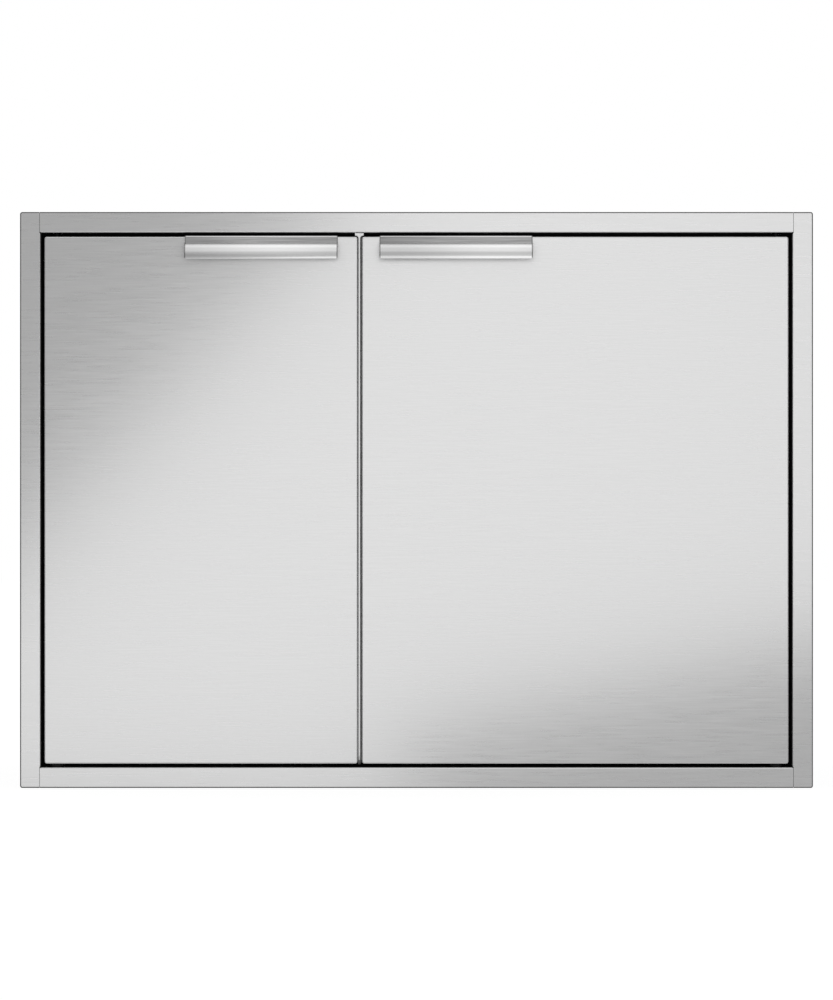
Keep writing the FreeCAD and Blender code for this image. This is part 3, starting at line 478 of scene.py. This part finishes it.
def box_into(mesh, low, high):
    """Adds a box to a bmesh."""
    size = [b - a for a, b in zip(low, high)]
    middle = [(a + b) / 2 for a, b in zip(low, high)]
    matrix = Matrix.Translation(middle) @ Matrix.Diagonal((*size, 1.0))
    return bmesh.ops.create_cube(mesh, size=1.0, matrix=matrix)["verts"]


def wedge_into(mesh, corners, near, far):
    """Adds a three-sided prism to a bmesh. Its corners are (x, z)."""
    front = [mesh.verts.new((x, near, z)) for x, z in corners]
    back = [mesh.verts.new((x, far, z)) for x, z in corners]
    mesh.faces.new(front)
    mesh.faces.new(back)
    for i in range(3):
        j = (i + 1) % 3
        mesh.faces.new((front[i], front[j], back[j], back[i]))


def finish_piece(piece, material, body):
    """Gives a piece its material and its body."""
    bpy.context.collection.objects.link(piece)
    piece.data.materials.clear()
    piece.data.materials.append(material)
    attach(piece, body)
    return piece


def object_from(name, mesh):
    """Turns a bmesh into an object with its faces outwards."""
    bmesh.ops.recalc_face_normals(mesh, faces=mesh.faces)
    data = bpy.data.meshes.new(name)
    mesh.to_mesh(data)
    mesh.free()
    return bpy.data.objects.new(name, data)


print("trim helpers ready")

# %% [markdown]
# ## The black lining of the mouth
# Around the doors the gap is pure black: the inner walls of the frame carry a thin black rubber
# strip, which is painted shade for the gap and hides the steel behind it. Flat strips line the four
# walls from just behind the face to the seal. They are boxes half a millimetre thick that meet at the
# corners, with a break at each hinge pin and at the head of the centre post. A block of the same
# rubber closes the space under the toe of the post, as painted shade there, and a small wedge of it
# paints the shade in the relief cut where the fold of a stile meets a rail.

# %% Lining strips
LINING = 0.5 * MM
LINING_SETBACK = 1.8 * MM
LINING_PLAY = 0.02 * MM
LINING_ROOM = 0.3 * MM
SEAL_WEB = 1.5 * MM
WEB_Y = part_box("left_opening_seal")[1].y - SEAL_WEB
POST_X = sum(corner.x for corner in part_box("centre_mullion")) / 2
POST_ROOM = 4.7 * MM
TOE_BLOCK = 2.0 * MM
TOE_BLOCK_RISE = 0.9 * MM
TOE_BLOCK_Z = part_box("left_door_skin")[0].z + TOE_BLOCK_RISE
NICK_WIDTH = 1.5 * MM
NICK_HEIGHT = 1.8 * MM
NICK_BASE = 0.6 * MM
NICK_DEPTH = 1.3 * MM


def span_x(node_name):
    """How far a node reaches along X, with a little room on both sides."""
    low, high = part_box(node_name)
    return low.x - LINING_ROOM, high.x + LINING_ROOM


def stretches(low, high, breaks):
    """What is left of a run from low to high once the breaks are taken out of it."""
    ends = [low, *sorted(end for pair in breaks for end in pair), high]
    return zip(ends[::2], ends[1::2])


def gap_shade_lining():
    """Black strips on the left, right, lower and upper wall of the mouth, as painted shade in the
    gap.
    """
    mesh = bmesh.new()
    near, far = FACE_Y + LINING_SETBACK, WEB_Y - LINING_PLAY
    (x0, x1), (z0, z1) = MOUTH_X, MOUTH_Z
    x0, x1, z0, z1 = x0 + LINING_PLAY, x1 - LINING_PLAY, z0 + LINING_PLAY, z1 - LINING_PLAY
    box_into(mesh, (x0, near, z0), (x0 + LINING, far, z1))
    box_into(mesh, (x1 - LINING, near, z0), (x1, far, z1))
    washers = [span_x(f"{side}_thrust_washer") for side in SIDES]
    for start, end in stretches(x0 + LINING, x1 - LINING, washers):
        box_into(mesh, (start, near, z0), (end, far, z0 + LINING))
    post = (POST_X - POST_ROOM, POST_X + POST_ROOM)
    pins = [span_x(f"{side}_upper_hinge_pin") for side in SIDES]
    for start, end in stretches(x0 + LINING, x1 - LINING, [*pins, post]):
        box_into(mesh, (start, near, z1 - LINING), (end, far, z1))
    # Painted shade: a black block under the toe of the post.
    box_into(mesh, (post[0], WEB_Y - TOE_BLOCK, z0 + LINING),
             (post[1], WEB_Y - LINING_PLAY, TOE_BLOCK_Z))
    # Painted shade: a black wedge in each relief cut.
    for wall_x, outward in zip(MOUTH_X, (-1, 1)):
        for rail_z, inward in zip(MOUTH_Z, (1, -1)):
            base_z = rail_z - inward * NICK_BASE
            wedge_into(mesh, ((wall_x, base_z), (wall_x + outward * NICK_WIDTH, base_z),
                              (wall_x, rail_z + inward * NICK_HEIGHT)),
                       FACE_Y + LINING_PLAY, FACE_Y + NICK_DEPTH)
    return finish_piece(object_from("mouth_lining", mesh), seal_rubber, "cabinet")


print(f"mouth lining: {len(gap_shade_lining().data.polygons)} faces")

# %% [markdown]
# ## Grey foam beside the post, painted shade
# The slot beside the nose of the post is grey and not black. A strip of grey foam fills most of it
# as painted shade, the half shade of the slot. It lies a few millimetres behind the face, where some
# light still reaches it. The toe of the nose is rounded back, so a pad of the same grey leans in
# front of it as painted shade and lets the nose fade out towards the gap below the doors. The nose is
# found among the vertices of the post: it is what comes near the face.

# %% Foam strip
NOSE_REACH = 5.0 * MM
SHADE_STRIP_SETBACK = 4.0 * MM
SHADE_STRIP_DEPTH = 1.5 * MM
SHADE_STRIP_ROOM = 0.35 * MM
TOE_PAD = 3.0 * MM
TOE_SETBACK = 4.5 * MM
TOE_FRONT = 2.5 * MM
TOE_LEAN = 4.8 * MM
TOE_DROP = 0.8 * MM


def post_strip():
    """A strip of grey foam on the wide side of the post's nose, with two pads of it at the toe, all
    painted shade.
    """
    nose = [v.co.x for v in nodes["centre_mullion"].data.vertices
            if v.co.y < FACE_Y + NOSE_REACH and v.co.z < MIDDLE_Z]
    near, far = FACE_Y + SHADE_STRIP_SETBACK, FACE_Y + SHADE_STRIP_SETBACK + SHADE_STRIP_DEPTH
    door_low, door_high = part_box("right_door_skin")
    low, high = door_low.z + SHADE_STRIP_ROOM, door_high.z - SHADE_STRIP_ROOM
    edge_x = door_low.x - SHADE_STRIP_ROOM
    mesh = bmesh.new()
    box_into(mesh, (max(nose) + LINING_PLAY, near, low + TOE_PAD), (edge_x, far, high))
    box_into(mesh, (max(nose), near + TOE_SETBACK, low), (edge_x, far + TOE_SETBACK, low + TOE_PAD))
    toe = box_into(mesh, (min(nose), FACE_Y + TOE_FRONT, low - TOE_DROP),
                   (max(nose), FACE_Y + TOE_FRONT + SHADE_STRIP_DEPTH, low + TOE_PAD))
    for vert in toe:
        if vert.co.z < low + TOE_PAD / 2:
            vert.co.y += TOE_LEAN
    return finish_piece(object_from("post_strip", mesh), slot_shade_foam, "cabinet")


print(f"foam strip: {len(post_strip().data.polygons)} faces")

# %% [markdown]
# ## Sealed seams
# The seams between stiles and rails are filled with a bead of dark sealant a little behind the face.
# From the front they read as fine grey lines. Above the head of the post a strip of the same sealant
# is painted shade, the thin line of shadow between the head and the rail.

# %% Seam beads
SEAM = 0.4 * MM
BEAD_SETBACK = 0.15 * MM
BEAD_DEPTH = 1.5 * MM
RIM_FOLD = 1.3 * MM
HEAD_HALF = 4.1 * MM
HEAD_SHADE_STRIP = 0.4 * MM


def seam_beads():
    """Sealant in the four seams between stile and rail, and a strip of it above the head of the post
    as painted shade.
    """
    mesh = bmesh.new()
    near, far = FACE_Y + BEAD_SETBACK, FACE_Y + BEAD_SETBACK + BEAD_DEPTH
    for rail, z0, z1 in (("frame_bottom_rail", LOW_Z + RIM_FOLD, MOUTH_Z[0] - LINING_PLAY),
                         ("frame_top_rail", MOUTH_Z[1] + LINING_PLAY, HIGH_Z - RIM_FOLD)):
        left, right = (corner.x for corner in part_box(rail))
        box_into(mesh, (left - SEAM, near, z0), (left, far, z1))
        box_into(mesh, (right, near, z0), (right + SEAM, far, z1))
    # Painted shade: a dark strip above the head of the post.
    box_into(mesh, (POST_X - HEAD_HALF, FACE_Y + HEAD_SHADE_STRIP, MOUTH_Z[1] - HEAD_SHADE_STRIP),
             (POST_X + HEAD_HALF, far, MOUTH_Z[1] - LINING_PLAY))
    return finish_piece(object_from("seam_beads", mesh), sealant_and_head_shade, "cabinet")


print(f"seam beads: {len(seam_beads().data.polygons)} faces")

# %% [markdown]
# ## Fasteners
# A rivet head and a socket screw are both stacks of rings: a ring is a circle, or a hexagon for the
# drive, at some height. One function skins the rings and closes both ends. The heads are made one
# unit wide, and a Geometry Nodes tree sets a copy on every place, turns it and scales it, so that a
# size is an input of the tree and not of the mesh.

# %% Rings to heads
RING_SIDES = 24


def ring(radius, height, corners=0):
    """Points around the Z axis. With corners, the ring is a regular polygon of that inner radius."""
    points = []
    for i in range(RING_SIDES):
        angle = 2 * math.pi * i / RING_SIDES
        reach = radius
        if corners:
            sector = 2 * math.pi / corners
            reach = radius / math.cos(angle % sector - sector / 2)
        points.append((reach * math.cos(angle), reach * math.sin(angle), height))
    return points


def skinned(name, rings):
    """A closed mesh through the rings, from the lowest to the last."""
    mesh = bmesh.new()
    loops = [[mesh.verts.new(p) for p in points] for points in rings]
    for lower, upper in zip(loops, loops[1:]):
        for i in range(RING_SIDES):
            j = (i + 1) % RING_SIDES
            mesh.faces.new((lower[i], lower[j], upper[j], upper[i]))
    mesh.faces.new(list(reversed(loops[0])))
    mesh.faces.new(loops[-1])
    head = object_from(name, mesh)
    bpy.context.collection.objects.link(head)
    return head


rivet_head = skinned("rivet_head", [
    ring(0.24, -0.24), ring(0.24, 0.0), ring(0.50, 0.0), ring(0.495, 0.05), ring(0.46, 0.12),
    ring(0.38, 0.175), ring(0.27, 0.21), ring(0.19, 0.222), ring(0.17, 0.21), ring(0.165, 0.12),
])
pan_head = skinned("pan_head", [
    ring(0.24, -0.30), ring(0.24, 0.0), ring(0.48, 0.0), ring(0.50, 0.03), ring(0.49, 0.14),
    ring(0.42, 0.22), ring(0.34, 0.245), ring(0.24, 0.25, corners=6), ring(0.23, 0.24, corners=6),
    ring(0.23, 0.06, corners=6),
])
flat_head = skinned("flat_head", [
    ring(0.30, -1.60), ring(0.30, -0.18), ring(0.478, -0.015), ring(0.475, -0.006), ring(0.465, 0.0),
    ring(0.25, 0.0, corners=6), ring(0.24, -0.01, corners=6), ring(0.24, -0.18, corners=6),
])
print("heads:", rivet_head.name, pan_head.name, flat_head.name)

# %% [markdown]
# The tree takes a mesh of bare points. It sets a head on each, realizes the copies and gives them
# their finish.

# %% Fastener tree


def fastener_tree():
    """A Geometry Nodes tree that sets a head on every point."""
    tree = bpy.data.node_groups.new("fasteners", "GeometryNodeTree")
    sockets = [("Places", "NodeSocketGeometry"), ("Head", "NodeSocketObject"),
               ("Head width", "NodeSocketFloat"), ("Turn", "NodeSocketVector"),
               ("Finish", "NodeSocketMaterial")]
    for name, kind in sockets:
        tree.interface.new_socket(name, in_out="INPUT", socket_type=kind)
    tree.interface.new_socket("Fasteners", in_out="OUTPUT", socket_type="NodeSocketGeometry")
    given = tree.nodes.new("NodeGroupInput").outputs
    result = tree.nodes.new("NodeGroupOutput").inputs
    head = add_node(tree, "GeometryNodeObjectInfo", Object=given["Head"])
    turn = add_node(tree, "FunctionNodeEulerToRotation", Euler=given["Turn"])
    placed = add_node(tree, "GeometryNodeInstanceOnPoints", Points=given["Places"],
                      Instance=head.outputs["Geometry"], Rotation=turn.outputs["Rotation"],
                      Scale=given["Head width"])
    real = add_node(tree, "GeometryNodeRealizeInstances", Geometry=placed.outputs["Instances"])
    painted = add_node(tree, "GeometryNodeSetMaterial", Geometry=real.outputs["Geometry"],
                       Material=given["Finish"])
    tree.links.new(painted.outputs["Geometry"], result["Fasteners"])
    return tree


FASTENERS = fastener_tree()
print(f"fastener tree: {len(FASTENERS.nodes)} nodes")

# %% [markdown]
# The places are read back from the CAD node that the piece replaces: its fasteners are separate
# lumps, and the middle of each lump's box is one place. It is rounded to a tenth of a millimetre, so
# that lumps on one axis count once.

# %% Places of the fasteners
WELD_REACH = 0.001 * MM
PLACE_DIGITS = 4
X_AND_Y = (0, 1)
X_AND_Z = (0, 2)


def lumps(node_name):
    """The boxes of the separate lumps in a CAD node, as pairs of corners."""
    mesh = bmesh.new()
    mesh.from_mesh(nodes[node_name].data)
    bmesh.ops.remove_doubles(mesh, verts=mesh.verts, dist=WELD_REACH)
    waiting = set(mesh.verts)
    boxes = []
    while waiting:
        lump, edge = set(), [waiting.pop()]
        while edge:
            vert = edge.pop()
            lump.add(vert)
            fresh = [e.other_vert(vert) for e in vert.link_edges]
            fresh = [v for v in fresh if v in waiting]
            waiting.difference_update(fresh)
            edge.extend(fresh)
        low = Vector([min(v.co[k] for v in lump) for k in range(3)])
        high = Vector([max(v.co[k] for v in lump) for k in range(3)])
        boxes.append((low, high))
    mesh.free()
    return boxes


def lump_places(node_name, axes):
    """Where the lumps of a node lie on two axes."""
    middles = [(low + high) / 2 for low, high in lumps(node_name)]
    return sorted({tuple(round(middle[k], PLACE_DIGITS) for k in axes) for middle in middles})


print(f"{len(lump_places('carcass_rivets', X_AND_Z))} places for rivets")

# %% [markdown]
# The evaluated mesh of the tree becomes a plain piece. It rides on the body of its fasteners and
# stands for their CAD node.

# %% Fasteners on their places
TO_BACK = (math.radians(-90.0), 0.0, 0.0)
UPRIGHT = (0.0, 0.0, 0.0)
RIVET_HEAD = 8.0 * MM
CATCH_HEAD = 6.0 * MM
CATCH_HEAD_RISE = 1.75 * MM
HANDLE_HEAD = 5.0 * MM
SHARP_ANGLE = math.radians(38.0)


def set_fasteners(name, places, head, width, turn, finish, body, slot, *replaced):
    """Sets heads on places, as one plain mesh that stands for the CAD nodes it replaces."""
    data = bpy.data.meshes.new(name + "_places")
    data.from_pydata(places, [], [])
    holder = bpy.data.objects.new(name + "_places", data)
    bpy.context.collection.objects.link(holder)
    modifier = holder.modifiers.new("fasteners", "NODES")
    modifier.node_group = FASTENERS
    values = {"Head": head, "Head width": width, "Turn": turn, "Finish": finish}
    for item in FASTENERS.interface.items_tree:
        if item.name in values:
            modifier[item.identifier] = values[item.name]
    bpy.context.view_layer.update()
    graph = bpy.context.evaluated_depsgraph_get()
    made = bpy.data.meshes.new_from_object(holder.evaluated_get(graph))
    made.name = name
    holder.modifiers.clear()
    bpy.data.objects.remove(holder)
    piece = finish_piece(bpy.data.objects.new(name, made), finish, body)
    piece.data.shade_smooth()
    piece.data.set_sharp_from_angle(angle=SHARP_ANGLE)
    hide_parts(*replaced)
    print(f"{name}: {len(places)} on {body}")
    return piece


back_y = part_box("carcass_back")[1].y
rivet_places = [(x, back_y, z) for x, z in lump_places("carcass_rivets", X_AND_Z)]
set_fasteners("back_rivet_heads", rivet_places, rivet_head, RIVET_HEAD, TO_BACK, rivet_aluminium,
              "cabinet", "rivet_aluminium", "carcass_rivets")
for side in SIDES:
    screws = f"{side}_catch_screws"
    ear_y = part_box(screws)[1].y - CATCH_HEAD_RISE
    screw_places = [(x, ear_y, z) for x, z in lump_places(screws, X_AND_Z)]
    set_fasteners(f"{side}_catch_screw_heads", screw_places, pan_head, CATCH_HEAD, TO_BACK,
                  hinge_steel, "cabinet", "hinge_steel", screws)
    screws = f"{side}_handle_screws"
    top_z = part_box(screws)[1].z
    screw_places = [(x, y, top_z) for x, y in lump_places(screws, X_AND_Y)]
    set_fasteners(f"{side}_handle_screw_heads", screw_places, flat_head, HANDLE_HEAD, UPRIGHT,
                  hinge_steel, f"{side}_door", "hinge_steel", screws)
for head in (rivet_head, pan_head, flat_head):
    bpy.data.objects.remove(head)

# %% [markdown]
# ## Studio
# Brushed steel is lit by what it reflects. A plain white room would make it one flat grey, so grey
# flags stand around the axis of the camera: they draw the dark line along each fold. Three more
# flags ahead of the doors shade the upper left corner, the lower right corner and the foot. The
# floor is white for the camera and still takes a faint shadow, because part of its white is lit and
# part of it glows.

# %% World and floor
ROOM_LEVEL = 0.6
FLOOR_SIZE = 30.0
FLOOR_LIT = 0.25
FLOOR_GLOW = 0.86
FLOOR_BOUNCE = 0.8 * ROOM_LEVEL


def flat_card(name, width, height):
    """A rectangle around the origin, which is stage and no part of the object."""
    mesh = bpy.data.meshes.new(name)
    w, h = width / 2, height / 2
    mesh.from_pydata([(-w, -h, 0), (w, -h, 0), (w, h, 0), (-w, h, 0)], [], [(0, 1, 2, 3)])
    card = bpy.data.objects.new(name, mesh)
    bpy.context.collection.objects.link(card)
    return card


def background_rays(tree):
    """1 for rays that should see the plain background: camera, glossy and transmission rays."""
    path = add_node(tree, "ShaderNodeLightPath")
    seen = math_node(tree, "MAXIMUM", path.outputs["Is Camera Ray"], path.outputs["Is Glossy Ray"])
    return math_node(tree, "MAXIMUM", seen, path.outputs["Is Transmission Ray"])


def matt_paint(name, lit, glow):
    """A paint without shine that also glows. Returns the material, its tree and the shader."""
    material, tree, shader = new_material(name)
    shader.inputs["Base Color"].default_value = (*grey(lit), 1.0)
    shader.inputs["Roughness"].default_value = 1.0
    shader.inputs["Specular IOR Level"].default_value = 0.0
    shader.inputs["Emission Color"].default_value = (*grey(glow), 1.0)
    shader.inputs["Emission Strength"].default_value = 1.0
    return material, tree, shader


world = bpy.data.worlds.new("studio")
bpy.context.scene.world = world
world.use_nodes = True
sky = next(n for n in world.node_tree.nodes if n.type == "BACKGROUND")
sky.inputs["Color"].default_value = (*grey(1.0), 1.0)
strength = ramp(world.node_tree, background_rays(world.node_tree), 0.0, 1.0, ROOM_LEVEL, 1.0)
world.node_tree.links.new(strength, sky.inputs["Strength"])

floor = flat_card("floor", FLOOR_SIZE, FLOOR_SIZE)
floor.location = (0.0, 0.0, LOW_Z)
floor.visible_glossy = False
floor_paint, tree, shader = matt_paint("floor_paint", FLOOR_LIT, glow=1.0)
tree.links.new(ramp(tree, background_rays(tree), 0.0, 1.0, FLOOR_BOUNCE, FLOOR_GLOW),
               shader.inputs["Emission Strength"])
floor.data.materials.append(floor_paint)
print("white room and floor ready")

# %% [markdown]
# A flag is a card that glows in its own grey. It is stage. The camera doesn't see it, it throws no
# shadow and gives no diffuse light, so it shows in reflections alone.

# %% Flags


def flag(name, shade, width, height, place, aim):
    """A grey card at a place, facing a point."""
    card = flat_card(name, width, height)
    material, _, _ = matt_paint(name, lit=0.0, glow=shade)
    card.data.materials.append(material)
    card.location = place
    card.rotation_euler = (Vector(aim) - Vector(place)).to_track_quat("Z", "Y").to_euler()
    card.visible_camera = False
    card.visible_shadow = False
    card.visible_diffuse = False
    return card


def corner_flag(name, shade, ahead, first, second, start, length, depth):
    """A flag ahead of the doors, to the left of the line from one point to another.

    The points are (x, z) from the middle of the doors. The flag begins that far before the first
    point, runs along the line for its length and reaches outward by its depth."""
    first, second = Vector(first), Vector(second)
    along = (second - first).normalized()
    outward = Vector((-along.y, along.x))
    middle = first + along * (length / 2 - start) + outward * depth / 2
    card = flag(name, shade, length, depth, (0.0, 0.0, 0.0), (0.0, 1.0, 0.0))
    across = Vector((along.x, 0.0, along.y))
    up = Vector((outward.x, 0.0, outward.y))
    turn = Matrix((across, up, across.cross(up))).transposed().to_4x4()
    place = (middle.x, FACE_Y - ahead, MIDDLE_Z + middle.y)
    card.matrix_world = Matrix.Translation(place) @ turn
    return card


def ring_flag(name, shade, width, height, azimuth, elevation, distance):
    """A flag at a bearing from the middle of the doors, facing them."""
    a, e = math.radians(azimuth), math.radians(elevation)
    away = Vector((math.sin(a) * math.cos(e), -math.cos(a) * math.cos(e), math.sin(e)))
    middle = Vector((0.0, FACE_Y, MIDDLE_Z))
    return flag(name, shade, width, height, middle + away * distance, middle)


corner_flag("flag_upper_left", shade=0.46, ahead=0.5, first=(-0.375, -0.001), second=(-0.162, 0.238),
            start=0.45, length=0.92, depth=0.5)
corner_flag("flag_lower_right", shade=0.50, ahead=0.4, first=(0.370, -0.158), second=(-0.05, -0.252),
            start=0.6, length=1.0, depth=1.0)
corner_flag("flag_low", shade=0.5, ahead=0.52, first=(0.5, -0.345), second=(-0.5, -0.345),
            start=0.6, length=2.2, depth=0.4)
for side, bearing in zip(SIDES, (-66, 66)):
    ring_flag(f"flag_{side}", shade=0.2, width=2.6, height=3.0, azimuth=bearing, elevation=0,
              distance=1.8)
ring_flag("flag_top", shade=0.68, width=4.0, height=1.1, azimuth=0, elevation=35, distance=2.0)
ring_flag("flag_bottom", shade=0.4, width=4.0, height=1.3, azimuth=0, elevation=-48, distance=2.0)
print("flags ready")

# %% [markdown]
# Two soft boxes lift the highlights that the white room can't give: one hangs above and a little
# behind the handles, for the roll of their lips, and one stands far ahead, a little above the doors.

# %% Lamps


def soft_box(name, width, height, power, place, aim):
    """A rectangular lamp at a place, turned to a point, unseen by the camera."""
    data = bpy.data.lights.new(name, "AREA")
    data.shape = "RECTANGLE"
    data.size = width
    data.size_y = height
    data.energy = power
    lamp = bpy.data.objects.new(name, data)
    bpy.context.collection.objects.link(lamp)
    lamp.location = place
    lamp.rotation_euler = (Vector(place) - Vector(aim)).to_track_quat("Z", "Y").to_euler()
    lamp.visible_camera = False
    return lamp


soft_box("overhead", width=2.4, height=1.2, power=2.0, place=(0.0, FACE_Y + 0.4, HIGH_Z + 1.3),
         aim=(0.0, FACE_Y, HIGH_Z))
soft_box("ahead", width=4.0, height=0.5, power=1.4, place=(0.0, FACE_Y - 4.0, MIDDLE_Z + 0.75),
         aim=(0.0, FACE_Y, HIGH_Z))
print("lamps ready")

# %% [markdown]
# ## Camera
# The photograph is square on, so the camera looks level at the middle of the doors, from far enough
# away that the depth hardly shows. One pixel is 0.9609 mm at the front of the frame, and the frame
# of the picture is 833 by 1000 pixels.

# %% Camera
MM_PER_PIXEL = 0.9609
PICTURE_HEIGHT = 1000
DISTANCE = 6.0
SENSOR = 36.0
camera_data = bpy.data.cameras.new("camera")
camera = bpy.data.objects.new("camera", camera_data)
bpy.context.collection.objects.link(camera)
bpy.context.scene.camera = camera
camera.location = (0.0, FACE_Y - DISTANCE, MIDDLE_Z)
camera.rotation_euler = (math.radians(90.0), 0.0, 0.0)
camera_data.sensor_width = SENSOR
camera_data.lens = SENSOR * DISTANCE / (MM_PER_PIXEL * MM * PICTURE_HEIGHT)
camera_data.clip_end = 100.0
bpy.context.scene.view_settings.view_transform = "Standard"
print(f"camera {DISTANCE} m away, lens {camera_data.lens:.1f} mm")
